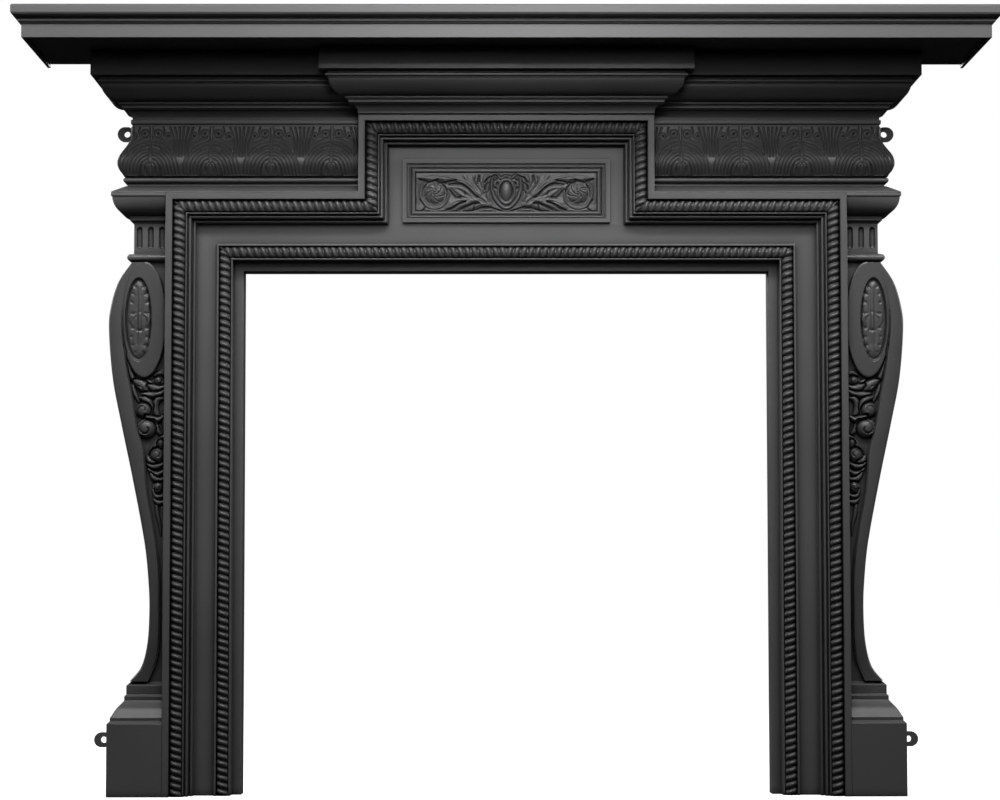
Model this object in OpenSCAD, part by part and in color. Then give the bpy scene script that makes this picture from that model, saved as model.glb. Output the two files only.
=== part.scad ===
// Cast-iron fireplace surround: a mantel shelf on a header casting and two legs.
// X runs across the front, Z is up, the front faces -Y. In the modules a depth is the
// distance in front of the wall plane, and the whole is centred in Y at the end.

/* [Opening] */
// Width of the fire opening
opening_w = 914; // [800:1:1100]
// Height of the fire opening
opening_h = 905; // [820:1:1090]

/* [Rope frame] */
// Width of the frame from the opening to its outer edge
frame_w = 131; // [128:1:160]
// Depth of the frame's outer band in front of the wall
frame_face = 100; // [96:1:120]
// Depth of the flat panel between the two rope mouldings
panel_face = 64; // [58:1:70]
// Depth of the flat band next to the opening
inner_face = 44; // [30:1:50]
// Half width of the raised centre of the frame
step_half_w = 256; // [220:1:300]
// Radius of the iron core under each rope
rope_core_r = 5.2; // [5:0.1:8.6]

/* [Legs] */
// Width of a leg beside the frame, at ledge and plinth
side_w = 94; // [90:1:114]
// Height of the plinth block
plinth_h = 124; // [100:1:150]
// Height of the mouldings between plinth and console
base_h = 71; // [66:1:90]
// Height of the capital under the ledge
capital_h = 51; // [48:1:60]
// Height of the fluted neck
neck_h = 51; // [44:1:70]
// Height of the bead under the neck
neck_bead_h = 16; // [12:1:20]
// Width of the console at its widest, beside the frame
bulge_w = 100.5; // [90:0.5:101]
// Width of the console at its waist
waist_w = 27; // [22:0.5:40]
// Number of flutes on the front of the neck
flutes = 3; // [2:1:4]

/* [Frieze and cornice] */
// Height of the rounded frieze
frieze_h = 91.5; // [75:0.5:105]
// How far the frieze bulges
frieze_bulge = 21; // [14:1:24]
// Depth of the frieze's upper edge in front of the wall
neck_face = 68; // [64:1:72]
// How far the cornice steps out
cornice_out = 64.5; // [58:0.5:70]
// Height of the cornice's plain top band at the sides
fascia_h = 43.5; // [40:0.5:60]
// How much lower the side cornices sit than the centre one
centre_lift = 4; // [3:0.5:8]
// Depth of the centre cornice's lower edge
centre_face = 106; // [102:1:112]

/* [Mantel shelf] */
// Half width of the shelf's plain band
shelf_half_w = 810; // [780:1:850]
// Depth of the shelf's plain band
shelf_face = 270; // [240:1:300]
// Height of the shelf
shelf_h = 54; // [50:1:64]
// How far the shelf's lip stands out
lip_out = 16; // [12:0.5:20]
// Depth of the recess in the shelf's underside
shelf_recess = 6.6; // [4:0.1:8]

/* [Fixing lugs] */
// Radius of a lug
lug_r = 13; // [11:0.5:16]
// Radius of the screw hole in a lug
lug_hole_r = 5.5; // [4:0.1:6.5]
// Thickness of a lug
lug_t = 7; // [5:0.5:9]
// Height of the lower lugs' holes
low_lug_z = 92; // [70:1:100]

/* [Casting] */
// Wall of the hollow legs and header
wall = 8; // [6:0.5:10]
// Wall of the hollow shelf
shelf_wall = 6; // [5:0.5:8]
// Thickness of the webs across the back
web_t = 7; // [5:0.5:9]
// About how far the webs are apart
web_pitch = 150; // [120:5:200]
// Radius of the softened edges
edge_r = 1.2; // [0.6:0.1:1.6]

/* [Hidden] */
$fn = 48;
iron = [0.16, 0.16, 0.165];
past = 1;                                   // how far a cut runs past a face

open_half = opening_w / 2;
frame_half = open_half + frame_w;
frame_top = opening_h + frame_w;
side_half = frame_half + side_w;
returns = side_half - frame_face;           // half width minus depth, all along the sides
centre_returns = step_half_w - centre_face;
band_w = 12.4;                              // plain outer band of the frame
rope_w = 21.6;                              // channel of the outer rope
outer_w = 52.8;                             // the whole outer moulding
inner_w = 46.1;                             // the whole inner moulding
hollow_in = 17.2 + wall;                    // the hollows end a wall behind the inner band

cornice_h = 66;                             // mouldings of the cornice, without the fascia
wash_h = 14;                                // sloped top of the ledge
bead_h = 16;                                // groove and bead between ledge and frieze
cap_fillet_h = 11;                          // plain fillet between frieze and cornice
frieze_bottom = frame_top + wash_h + bead_h;
frieze_top = frieze_bottom + frieze_h;
cornice_bottom = frieze_top + cap_fillet_h;
step_top = cornice_bottom + centre_lift;    // the raised centre reaches up to its cornice
fascia_bottom = cornice_bottom + cornice_h;
header_top = fascia_bottom + fascia_h;
shelf_bottom = header_top - shelf_recess;
shelf_top = shelf_bottom + shelf_h;
depth = shelf_face + lip_out;

capital_bottom = frame_top - capital_h;
neck_bottom = capital_bottom - neck_h;
console_top = neck_bottom - neck_bead_h;
console_foot = plinth_h + base_h;
console_h = console_top - console_foot;
leg_neck_face = frame_face - 36;
flank_face = leg_neck_face - 2;             // the console's sunk field
strap_face = flank_face + 8.5;              // the strap that follows the console's edge
disc_face = flank_face + 13;

// ---- curves and softened outlines

function unit(v) = v / norm(v);

function turn(a, b) = (b - a + 540) % 360 - 180;

// The corner at b, between a and c, as a small arc. A nearly straight corner stays as it is.
function soft_corner(a, b, c, r) =
    let (u = unit(a - b), v = unit(c - b),
         half = acos(max(-1, min(1, u * v))) / 2,
         t = min(r / tan(half), 0.45 * min(norm(a - b), norm(c - b))),
         centre = b + unit(u + v) * t / cos(half),
         first = b + u * t - centre, last = b + v * t - centre,
         from = atan2(first[1], first[0]),
         by = turn(from, atan2(last[1], last[0])))
    [for (k = [0 : 3]) centre + norm(first) * [cos(from + by * k / 3), sin(from + by * k / 3)]];

function is_sharp(a, b, c) =
    let (cosine = unit(a - b) * unit(c - b)) cosine > -0.9 && cosine < 0.999;

function soft(points, against_wall = false) =
    let (n = len(points))
    [for (i = [0 : n - 1])
        let (a = points[(i + n - 1) % n], b = points[i], c = points[(i + 1) % n])
        each is_sharp(a, b, c) && !(against_wall && b[0] == 0)
            ? soft_corner(a, b, c, edge_r) : [b]];

// A profile that stands against the wall keeps its two corners there sharp
function soft_profile(points) = soft(points, true);

// An elliptical arc about [x, y] from angle a to angle b
function arc(x, y, rx, ry, a, b, n = 8) =
    [for (k = [0 : n]) [x + rx * cos(a + (b - a) * k / n), y + ry * sin(a + (b - a) * k / n)]];

function through(p0, p1, p2, p3, t) =
    0.5 * (2 * p1 + (p2 - p0) * t + (2 * p0 - 5 * p1 + 4 * p2 - p3) * t * t
           + (3 * p1 - p0 - 3 * p2 + p3) * t * t * t);

// A smooth curve through a few points
function curve(points, n = 5) =
    let (last = len(points) - 1)
    concat([for (i = [0 : last - 1]) for (k = [0 : n - 1])
                through(points[max(i - 1, 0)], points[i], points[i + 1],
                        points[min(i + 2, last)], k / n)],
           [points[last]]);

// ---- profiles, each point as [depth, height]

// Underside of a cornice, from its lower edge at [0, 0] up to the fascia
function cornice_profile() = concat(
    [[0, 0], [0, 1]],
    arc(12.5, 1, 12.5, 14, 180, 90),
    [[12.5, 16], [16, 16.5], [16, 20.5], [17.5, 21], [17.5, 22.7], [21, 23.2], [21, 27.2]],
    arc(23, 53.5, 25.5, 26, 270, 360, 10),
    [[49.5, 54], [49.5, 55.8], [53.5, 56.3], [53.5, 60.8], [50, 61.3], [50, cornice_h]],
    [[cornice_out, cornice_h]]);

function side_profile() = concat(
    [[0, frame_top], [frame_face, frame_top], [frame_face, frame_top + 1]],
    [[frame_face - 3, frame_top + 3], [frame_face - 23, frame_top + wash_h]],
    [[neck_face + 6.5, frame_top + wash_h], [neck_face + 6.5, frieze_bottom - 11]],
    arc(neck_face + 9, frieze_bottom - 6, 4.5, 4.5, -90, 70, 6),
    [[neck_face + 4, frieze_bottom - 1]],
    [for (k = [0 : 16]) [neck_face + frieze_bulge * bulge(k / 16), frieze_bottom + frieze_h * k / 16]],
    [[neck_face, frieze_top + 2], [neck_face + 2.5, frieze_top + 2.5]],
    [[neck_face + 2.5, cornice_bottom - 1.5], [neck_face, cornice_bottom - 1]],
    [for (q = cornice_profile()) q + [neck_face, cornice_bottom]],
    [[neck_face + cornice_out, header_top], [0, header_top]]);

// How far the frieze stands out at height t, from 0 to 1: fullest a quarter of the way up
function bulge(t) =
    t < 0.26 ? 0.45 + 0.55 * sin(90 * t / 0.26)
    : t < 0.77 ? pow(cos(90 * (t - 0.26) / 0.51), 1.45) : 0;

function centre_profile() = concat(
    [[0, step_top]],
    [for (q = cornice_profile()) q + [centre_face, step_top]],
    [[centre_face + cornice_out, header_top], [0, header_top]]);

function capital_profile() = concat(
    [[0, frame_top], [frame_face, frame_top], [frame_face, frame_top - 6]],
    arc(frame_face - 27, frame_top - 6, 25, 30, 0, -80, 8),
    [[leg_neck_face + 6.5, frame_top - 37], [leg_neck_face + 6.5, frame_top - 44]],
    arc(leg_neck_face + 7, capital_bottom, 7, 6, 90, 180, 4),
    [[0, capital_bottom]]);

function neck_bead_profile() = concat(
    [[0, neck_bottom], [leg_neck_face, neck_bottom], [leg_neck_face + 4, neck_bottom - 1.5]],
    arc(leg_neck_face + 4, neck_bottom - 8, 6.5, 6.5, 90, -60, 8),
    [[leg_neck_face + 2, console_top], [0, console_top]]);

function base_profile() = concat(
    [[0, console_foot], [leg_neck_face - 1, console_foot], [strap_face, console_foot - 7]],
    [[strap_face, console_foot - 22], [strap_face + 3, console_foot - 25]],
    [[strap_face + 3, console_foot - 32]],
    curve([[strap_face + 5, console_foot - 34.5], [strap_face + 9, console_foot - 39],
           [strap_face + 14.5, console_foot - 45], [strap_face + 18.5, console_foot - 51],
           [strap_face + 22, console_foot - 57], [strap_face + 24, console_foot - 60]], 3),
    [[frame_face - 5, console_foot - 61], [frame_face - 5, console_foot - 66]],
    [[frame_face, plinth_h], [frame_face, 0], [0, 0]]);

// Outer moulding of the frame, each point as [distance in from the outer edge, depth]
function outer_moulding() =
    let (rope_mid = band_w + rope_w / 2, rope_end = band_w + rope_w, low = panel_face - 4)
    concat(
        [[0, low], [0, frame_face], [band_w - 1, frame_face], [band_w, frame_face - 3]],
        [[band_w, frame_face - 12]],
        arc(rope_mid, frame_face - 10, rope_core_r, rope_core_r, 180, 0, 10),
        [[rope_end, frame_face - 12], [rope_end, frame_face - 7], [rope_end + 2.6, frame_face - 7]],
        [[rope_end + 2.6, frame_face - 16], [rope_end + 4.2, frame_face - 16]],
        arc(rope_end + 6.9, frame_face - 15.5, 2.7, 2.9, 180, 0, 6),
        [[rope_end + 9.6, frame_face - 25], [rope_end + 11.2, frame_face - 25]],
        arc(rope_end + 13.8, frame_face - 25, 2.6, 2.8, 180, 0, 6),
        [[rope_end + 16.4, panel_face + 1.5]],
        [[outer_w, panel_face + 1.5], [outer_w, low]]);

// Inner moulding of the frame, each point as [distance out from the opening, depth]
function inner_moulding() =
    let (rope_mid = 30.6)
    concat(
        [[0, 0], [0, inner_face], [16, inner_face], [17.2, panel_face - 2], [17.2, panel_face + 6]],
        [[20.4, panel_face + 6], [20.4, panel_face]],
        arc(rope_mid, panel_face + 2.5, rope_core_r + 0.3, rope_core_r + 0.3, 180, 0, 10),
        [[40.8, panel_face], [40.8, panel_face + 10], [44.8, panel_face + 10]],
        [[44.8, panel_face], [inner_w, panel_face], [inner_w, 0]]);

// ---- the console's curves, each point as [distance from the frame's edge, height]

function console_edge() = curve([for (q = [
    [62, 1], [0.845 * bulge_w, 0.952], [0.97 * bulge_w, 0.893], [bulge_w, 0.837],
    [0.927 * bulge_w, 0.721], [0.771 * bulge_w, 0.611], [57, 0.479], [waist_w + 9.5, 0.332],
    [waist_w + 1.5, 0.23], [waist_w, 0.16], [waist_w + 3, 0.09], [waist_w + 13, 0.035], [60, 0]])
    [q[0], console_foot + q[1] * console_h]]);

function strap_edge() = curve([for (q = [
    [0.745 * bulge_w, 0.885], [0.685 * bulge_w, 0.765], [0.575 * bulge_w, 0.68],
    [0.478 * bulge_w, 0.6], [37, 0.546], [31, 0.453], [18, 0.356], [8.8, 0.26],
    [7.5, 0.18], [8, 0.1], [13, 0.05], [28, 0]])
    [q[0], console_foot + q[1] * console_h]]);

disc_mid = [side_w - 56, console_foot + 0.862 * console_h];
disc_r = [38, 101];
sunk_mid = disc_mid + [9, -1];
sunk_r = [26.5, 74.5];

// ---- placing helpers

module along_x(x0, x1, points) {
    translate([x0, 0, 0]) rotate([90, 0, 90]) linear_extrude(x1 - x0)
        polygon([for (q = points) [-q[0], q[1]]]);
}

// An outline in X and Z, drawn from one depth to another
module plate(d0, d1, points) {
    translate([0, -d0, 0]) rotate([90, 0, 0]) linear_extrude(d1 - d0) polygon(points);
}

module box(x0, x1, d0, d1, z0, z1) {
    translate([x0, -d1, z0]) cube([x1 - x0, d1 - d0, z1 - z0]);
}

// A moulding that runs across the front and returns down both ends with true mitres
module returned(points, extra) {
    reach = max([for (q = points) q[0]]);
    intersection() {
        along_x(-reach - extra, reach + extra, points);
        plate(0, reach + past, concat(
            [for (q = points) if (q[0] > 0) [-q[0] - extra, q[1]]],
            [for (i = [len(points) - 1 : -1 : 0]) if (points[i][0] > 0)
                [points[i][0] + extra, points[i][1]]]));
    }
}

// The part of a moulding beside the frame, returned down its outer end only
module side_block(points) {
    reach = max([for (q = points) q[0]]);
    intersection() {
        along_x(-reach - returns, -frame_half, points);
        plate(0, reach + past, concat(
            [[-frame_half, points[0][1]]],
            [for (q = points) if (q[0] > 0) [-q[0] - returns, q[1]]],
            [[-frame_half, points[len(points) - 1][1]]]));
    }
}

module lug(x, z, toward) {
    difference() {
        union() {
            for (out = [0, 4])
                translate([x - sign(toward) * out, 0, z]) rotate([90, 0, 0]) cylinder(r = lug_r, h = lug_t);
            box(min(x, x + toward), max(x, x + toward), 0, lug_t, z - lug_r * 0.8, z + lug_r * 0.8);
        }
        translate([x, past, z]) rotate([90, 0, 0]) cylinder(r = lug_hole_r, h = lug_t + 2 * past);
    }
}

// ---- the pieces, each drawn with the wall at Y = 0

module shelf_body() {
    outline = soft_profile([
        [0, 0], [shelf_face, 0], [shelf_face, shelf_h - 30.5], [shelf_face + 2.5, shelf_h - 30],
        [shelf_face + 2.5, shelf_h - 28.5], [shelf_face + 5, shelf_h - 27.5],
        [shelf_face + 6, shelf_h - 25.5], [shelf_face + 5, shelf_h - 23.5],
        [shelf_face + 3.5, shelf_h - 22.5], [shelf_face + 3.5, shelf_h - 21],
        [shelf_face + 7, shelf_h - 20.3], [shelf_face + 11, shelf_h - 19],
        [shelf_face + 14.5, shelf_h - 16.8], [depth, shelf_h - 14], [depth, shelf_h - 2.5],
        [depth - 2, shelf_h], [0, shelf_h]]);
    difference() {
        returned([for (q = outline) [q[0], q[1] + shelf_bottom]], shelf_half_w - shelf_face);
        box(-shelf_half_w + 6, shelf_half_w - 6, -past, shelf_face - 6,
            shelf_bottom - past, header_top);
        box(-shelf_half_w + shelf_wall, shelf_half_w - shelf_wall, -past, shelf_face - shelf_wall,
            header_top + shelf_wall, shelf_top - shelf_wall);
    }
}

module outer_run_across(x0, x1, top) {
    along_x(x0, x1, [for (q = soft(outer_moulding())) [q[1], top - q[0]]]);
}

module header_frame() {
    low = opening_h + inner_w;
    // the flat panel
    plate(0, panel_face, [
        [-open_half - inner_w, low], [open_half + inner_w, low], [frame_half, frame_top],
        [step_half_w, frame_top], [step_half_w, step_top], [-step_half_w, step_top],
        [-step_half_w, frame_top], [-frame_half, frame_top]]);
    // the inner rope moulding over the opening
    intersection() {
        along_x(-frame_half, frame_half,
                [for (q = soft(inner_moulding())) [q[1], opening_h + q[0]]]);
        plate(0, frame_face, [
            [-open_half, opening_h], [open_half, opening_h],
            [open_half + inner_w, low], [-open_half - inner_w, low]]);
    }
    // the outer rope moulding: across, up the step, and across the top
    for (side = [0, 1]) mirror([side, 0, 0]) {
        intersection() {
            outer_run_across(-frame_half, -step_half_w + outer_w, frame_top);
            plate(0, frame_face + past, [
                [-frame_half, frame_top], [-step_half_w, frame_top],
                [-step_half_w + outer_w, frame_top - outer_w],
                [-frame_half + outer_w, frame_top - outer_w]]);
        }
        intersection() {
            translate([0, 0, frame_top - outer_w]) linear_extrude(step_top - frame_top + outer_w)
                polygon([for (q = soft(outer_moulding())) [q[0] - step_half_w, -q[1]]]);
            plate(0, frame_face + past, [
                [-step_half_w, frame_top], [-step_half_w, step_top],
                [-step_half_w + outer_w, step_top - outer_w],
                [-step_half_w + outer_w, frame_top - outer_w]]);
        }
    }
    intersection() {
        outer_run_across(-step_half_w, step_half_w, step_top);
        plate(0, frame_face + past, [
            [-step_half_w, step_top], [step_half_w, step_top],
            [step_half_w - outer_w, step_top - outer_w],
            [-step_half_w + outer_w, step_top - outer_w]]);
    }
}

// The small moulded frame round the cartouche, sunk in the middle
module cartouche_frame() {
    mid_z = frame_top + 7;
    half_w = 180;
    half_h = 55;
    for (ring = [[0, 7, 6.5], [7, 13, 3], [13, 20, 1]])
        difference() {
            box(-half_w + ring[0], half_w - ring[0], panel_face - past, panel_face + ring[2],
                mid_z - half_h + ring[0], mid_z + half_h - ring[0]);
            box(-half_w + ring[1], half_w - ring[1], panel_face - 2, frame_face,
                mid_z - half_h + ring[1], mid_z + half_h - ring[1]);
        }
}

module header_hollows() {
    low = opening_h + hollow_in;
    slack = wall * sqrt(2);
    centre_top = header_top - wall;
    plate(-past, panel_face - wall, [
        [-open_half - hollow_in + slack, low], [open_half + hollow_in - slack, low],
        [frame_half - wall - slack, frame_top - wall],
        [-frame_half + wall + slack, frame_top - wall]]);
    box(-returns - neck_face + wall, returns + neck_face - wall, -past, panel_face - wall,
        frame_top + wall, centre_top);
    for (level = [[36, 41], [cornice_h + wall, cornice_out]]) {
        side_d = neck_face + level[1] - wall;
        centre_d = centre_face + level[1] - wall;
        box(-returns - side_d, returns + side_d, -past, side_d, cornice_bottom + level[0], centre_top);
        box(-centre_returns - centre_d, centre_returns + centre_d, -past, centre_d,
            cornice_bottom + centre_lift + level[0], centre_top);
    }
}

// Webs cast across the back of the header, which stiffen it and leave shallow pockets
module header_webs() {
    span = returns + neck_face - wall;
    count = round(2 * span / web_pitch);
    for (k = [1 : count - 1]) {
        x = -span + 2 * span * k / count;
        box(x - web_t / 2, x + web_t / 2, 0, panel_face - wall + past, opening_h, header_top - 1);
    }
    box(-span, span, 0, panel_face - wall + past, frieze_top - web_t, frieze_top);
}

// Webs across the back of a leg
module leg_webs() {
    count = round(opening_h / web_pitch);
    for (k = [1 : count - 1]) {
        z = opening_h * k / count;
        box(-side_half + wall, -open_half - 15, 0, flank_face - wall + past, z - web_t / 2, z + web_t / 2);
    }
}

module header_body() {
    difference() {
        union() {
            difference() {
                returned(soft_profile(side_profile()), returns);
                box(-step_half_w, step_half_w, -past, depth, frame_top - past, step_top);
            }
            returned(soft_profile(centre_profile()), centre_returns);
            header_frame();
            cartouche_frame();
        }
        difference() {
            header_hollows();
            header_webs();
        }
    }
    for (side = [-1, 1])
        lug(side * (returns + neck_face + lug_r + 4), frieze_top - 5.5, -side * (lug_r + 8));
}

module leg_frame() {
    inner_edge = open_half + inner_w;
    plate(0, panel_face, [
        [-frame_half, 0], [-inner_edge, 0], [-inner_edge, opening_h + inner_w],
        [-frame_half, frame_top]]);
    intersection() {
        linear_extrude(frame_top) polygon([for (q = soft(inner_moulding())) [-open_half - q[0], -q[1]]]);
        plate(0, frame_face, [
            [-open_half, 0], [-open_half, opening_h],
            [-inner_edge, opening_h + inner_w], [-inner_edge, 0]]);
    }
    intersection() {
        linear_extrude(frame_top) polygon([for (q = soft(outer_moulding())) [q[0] - frame_half, -q[1]]]);
        plate(0, frame_face + past, [
            [-frame_half, 0], [-frame_half + outer_w, 0],
            [-frame_half + outer_w, frame_top - outer_w], [-frame_half, frame_top]]);
    }
}

module fluted_neck() {
    outer = returns + leg_neck_face;
    pitch = (outer - frame_half) / flutes;
    flute_r = pitch * 0.27;
    low = neck_bottom + 8 + flute_r;
    high = capital_bottom - 4 - flute_r;
    difference() {
        box(-outer, -frame_half + past, 0, leg_neck_face, neck_bottom - past, capital_bottom + past);
        for (k = [0 : flutes - 1]) translate([-outer + pitch * (k + 0.5), -leg_neck_face, 0]) {
            translate([0, 0, low]) cylinder(r = flute_r, h = high - low);
            translate([0, 0, low]) sphere(r = flute_r);
            translate([0, 0, high]) sphere(r = flute_r);
        }
        for (k = [0 : 1]) translate([-outer, -leg_neck_face + pitch * (k + 0.6), 0]) {
            translate([0, 0, low]) cylinder(r = flute_r, h = high - low);
            translate([0, 0, low]) sphere(r = flute_r);
            translate([0, 0, high]) sphere(r = flute_r);
        }
    }
}

function beside(points, extra = 0) = [for (q = points) [-frame_half - q[0] - extra, q[1]]];

function oval(mid, r, n = 40) =
    [for (k = [0 : n - 1]) [-frame_half - mid[0] - r[0] * cos(360 * k / n), mid[1] + r[1] * sin(360 * k / n)]];

module console() {
    edge = console_edge();
    strap = strap_edge();
    inner = -frame_half + past;
    plate(0, flank_face, concat(beside(edge), [[inner, console_foot], [inner, console_top]]));
    // the strap stands up from the field, set in from the edge that is rounded over
    plate(flank_face - past, strap_face, concat(
        [for (q = beside(edge)) if (q[1] < console_foot + 0.885 * console_h) [q[0] + 7, q[1]]],
        [for (i = [len(strap) - 1 : -1 : 0]) beside(strap)[i]]));
    // the oval disc, with a rim that steps down to the field, and its rosette
    difference() {
        for (k = [0 : 2])
            plate(flank_face - past, disc_face - [0, 2, 6][k], oval(disc_mid, disc_r - [6, 6] + [3, 3] * k));
        plate(disc_face - 7, disc_face + past, oval(sunk_mid, sunk_r));
    }
    rosette();
    scrolls();
}

module rosette() {
    floor_d = disc_face - 8;
    plate(floor_d, floor_d + 5, oval(sunk_mid, [3.5, 12], 20));
    for (up = [-1, 1]) {
        plate(floor_d, floor_d + 3.4, oval(sunk_mid + [0, up * 38], [5, 22], 20));
        for (out = [-1, 1])
            plate(floor_d, floor_d + 2.6, oval(sunk_mid + [out * 12, up * 10], [4, 6], 16));
    }
}

// Leaf scrolls that get smaller down the sunk field, each as [distance, height, radius, rise]
module scrolls() {
    for (ball = [[19, 0.708, 12, 3.4], [38, 0.645, 9.5, 4.2], [31, 0.597, 13, 4.4],
                 [18, 0.532, 10, 3.4], [15, 0.457, 7, 2.4], [14, 0.425, 5, 2]])
        intersection() {
            translate([-frame_half - ball[0], -flank_face, console_foot + ball[1] * console_h])
                scale([ball[2], ball[3], ball[2]]) rotate([90, 0, 0]) sphere(r = 1, $fn = 20);
            plate(flank_face - past, disc_face, [
                [-frame_half - 60, console_foot], [-frame_half, console_foot],
                [-frame_half, console_top], [-frame_half - 60, console_top]]);
        }
}

module leg_hollows() {
    slack = wall * sqrt(2);
    strap = [for (q = beside(strap_edge(), -2)) if (q[1] > console_foot + 0.4 * console_h) q];
    plate(-past, panel_face - wall, [
        [-frame_half + wall, wall], [-open_half - hollow_in, wall],
        [-open_half - hollow_in, opening_h + hollow_in - slack],
        [-frame_half + wall, frame_top - wall - slack]]);
    plate(-past, flank_face - wall, concat(strap, [
        [-frame_half - 4, strap[len(strap) - 1][1]], [-frame_half - 4, console_top - 10],
        [-returns - leg_neck_face + wall, console_top - 10]]));
    box(-returns - leg_neck_face + wall, -frame_half - 4, -past, leg_neck_face - wall,
        console_top - 11, frame_top - wall);
    box(-side_half + wall, -frame_half - 4, -past, frame_face - wall, wall, plinth_h - 4);
}

module leg_body() {
    difference() {
        union() {
            leg_frame();
            side_block(soft_profile(capital_profile()));
            fluted_neck();
            side_block(soft_profile(neck_bead_profile()));
            console();
            side_block(soft_profile(base_profile()));
        }
        difference() {
            leg_hollows();
            leg_webs();
        }
    }
    lug(-side_half - lug_r - 4, low_lug_z, lug_r + 8);
}

module mantel_shelf() { color(iron) translate([0, depth / 2, 0]) shelf_body(); }

module header() { color(iron) translate([0, depth / 2, 0]) header_body(); }

module left_leg() { color(iron) translate([0, depth / 2, 0]) leg_body(); }

module right_leg() { color(iron) translate([0, depth / 2, 0]) mirror([1, 0, 0]) leg_body(); }

mantel_shelf();
header();
left_leg();
right_leg();
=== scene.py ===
# %% [markdown]
# # A cast-iron fireplace surround
# Four iron castings make this surround: a mantel shelf, a header with friezes and a
# stepped rope frame, and two legs. Their true solids arrive as a fixed frame. What a
# founder would have carved into the pattern by hand, such as rope strands, leaves,
# rosettes and scrolls, is built here as mesh and laid on those solids.

# %% Load the fixed frame
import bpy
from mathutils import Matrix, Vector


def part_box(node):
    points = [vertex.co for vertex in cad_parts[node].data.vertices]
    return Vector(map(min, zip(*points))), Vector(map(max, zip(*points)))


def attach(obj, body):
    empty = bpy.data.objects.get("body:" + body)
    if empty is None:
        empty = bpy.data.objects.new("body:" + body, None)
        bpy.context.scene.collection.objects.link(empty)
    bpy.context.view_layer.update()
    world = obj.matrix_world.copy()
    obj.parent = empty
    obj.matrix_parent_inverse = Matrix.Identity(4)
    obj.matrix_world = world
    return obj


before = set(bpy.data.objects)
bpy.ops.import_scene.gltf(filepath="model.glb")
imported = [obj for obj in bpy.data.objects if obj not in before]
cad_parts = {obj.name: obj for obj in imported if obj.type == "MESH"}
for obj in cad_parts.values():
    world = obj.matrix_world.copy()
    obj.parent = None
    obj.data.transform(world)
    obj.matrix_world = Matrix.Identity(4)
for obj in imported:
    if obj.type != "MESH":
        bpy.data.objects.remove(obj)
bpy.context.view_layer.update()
print("castings:", sorted(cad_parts))

# %% Other modules
import math

import bpy
import numpy as np
from mathutils import Matrix, Vector

# %% [markdown]
# ## Sizes
# Every ornament sits on one of the castings, so its place comes from their boxes. The
# wall is the back of the header, and a depth below is a distance in front of it. A few
# sizes that a box can't give, such as the width of a rope's channel, are named here in
# metres as they are on the castings.

# %% Sizes read from the castings
MM = 0.001
header_low, header_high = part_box("header")
leg_low, leg_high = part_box("left_leg")

wall_y = header_high.y
opening_half = -leg_high.x
opening_top = header_low.z
frame_top = leg_high.z
frame_w = frame_top - opening_top
frame_half = opening_half + frame_w
frame_face = wall_y - leg_low.y
print("opening", 2 * opening_half, "by", opening_top, "frame width", frame_w)

# %% Sizes of the beds that the ornament lies in
step_half = 256 * MM               # half the width of the frame's raised middle
frieze_bottom = frame_top + 30 * MM
frieze_h = 91.5 * MM
neck_face = 68 * MM                # faces are depths in front of the wall
step_top = frieze_bottom + frieze_h + 15 * MM
panel_face = 64 * MM
flank_face = 62 * MM
console_foot = 195 * MM
console_top = 918 * MM
console_h = console_top - console_foot
bulge_w = 100.5 * MM
waist_w = 27 * MM
print("friezes from", frieze_bottom, "up by", frieze_h, "and consoles", console_h, "tall")

# %% [markdown]
# ## From numbers to a mesh
# Carved ornament is mostly curved sheets: a rope, a leaf and a swelling frieze are each
# a grid of points bent into place. One helper turns such a grid into a mesh, and
# another gathers many grids into one object, which keeps the list of pieces short.

# %% Mesh helpers
def place(x, depth, z):
    """A point given by its distance in front of the wall."""
    return (x, wall_y - depth, z)


def grid_faces(rows, cols, start=0, wrap=False):
    """Quads of a rows by cols grid whose points follow each other row by row."""
    faces = []
    for r in range(rows - 1):
        for c in range(cols if wrap else cols - 1):
            n = (c + 1) % cols
            a = start + r * cols
            faces.append((a + c, a + n, a + cols + n, a + cols + c))
    return faces


class Carving:
    """Gathers grids of points and makes one piece of them."""

    def __init__(self):
        self.points = []
        self.faces = []

    def grid(self, points, wrap=False, flip=False):
        """points has the shape (rows, columns, 3), in the row frame."""
        points = np.asarray(points, float)
        rows, cols = points.shape[:2]
        faces = grid_faces(rows, cols, len(self.points), wrap)
        if flip:
            faces = [f[::-1] for f in faces]
        self.points.extend(points.reshape(-1, 3).tolist())
        self.faces.extend(faces)

    def mirrored(self):
        """The same carving on the other side of the centre."""
        other = Carving()
        other.points = [(-p[0], p[1], p[2]) for p in self.points]
        other.faces = [f[::-1] for f in self.faces]
        return other

    def piece(self, name, material):
        mesh = bpy.data.meshes.new(name)
        mesh.from_pydata([tuple(p) for p in self.points], [], self.faces)
        mesh.validate()
        mesh.shade_smooth()
        mesh.materials.append(material)
        made = bpy.data.objects.new(name, mesh)
        bpy.context.scene.collection.objects.link(made)
        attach(made, "root")
        print(f"{name}: {len(mesh.polygons)} faces")
        return made


# %% [markdown]
# ## The finish
# The iron is blacked with graphite polish. It is a dark neutral grey, nearly matt, a
# little burnished on edges where the brush has rubbed it, and its skin keeps the fine
# grain of the sand mould. Furrows and hollows are painted darker still, as painted shade
# that stands in for the shade falling there. All of it could be painted by hand, but a
# finish made of nodes fits any piece: noise gives the grain and the patches, the
# pointiness of the surface finds the rubbed edges, and ambient occlusion finds where
# the painted shade goes.

# %% Helpers for the nodes of a finish
def noise(nodes, links, where, scale, detail):
    """Noise in the object's own space, so that it lies still on the piece."""
    made = nodes.new("ShaderNodeTexNoise")
    made.inputs["Scale"].default_value = scale
    made.inputs["Detail"].default_value = detail
    links.new(where.outputs["Object"], made.inputs["Vector"])
    return made.outputs["Fac"]


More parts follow.
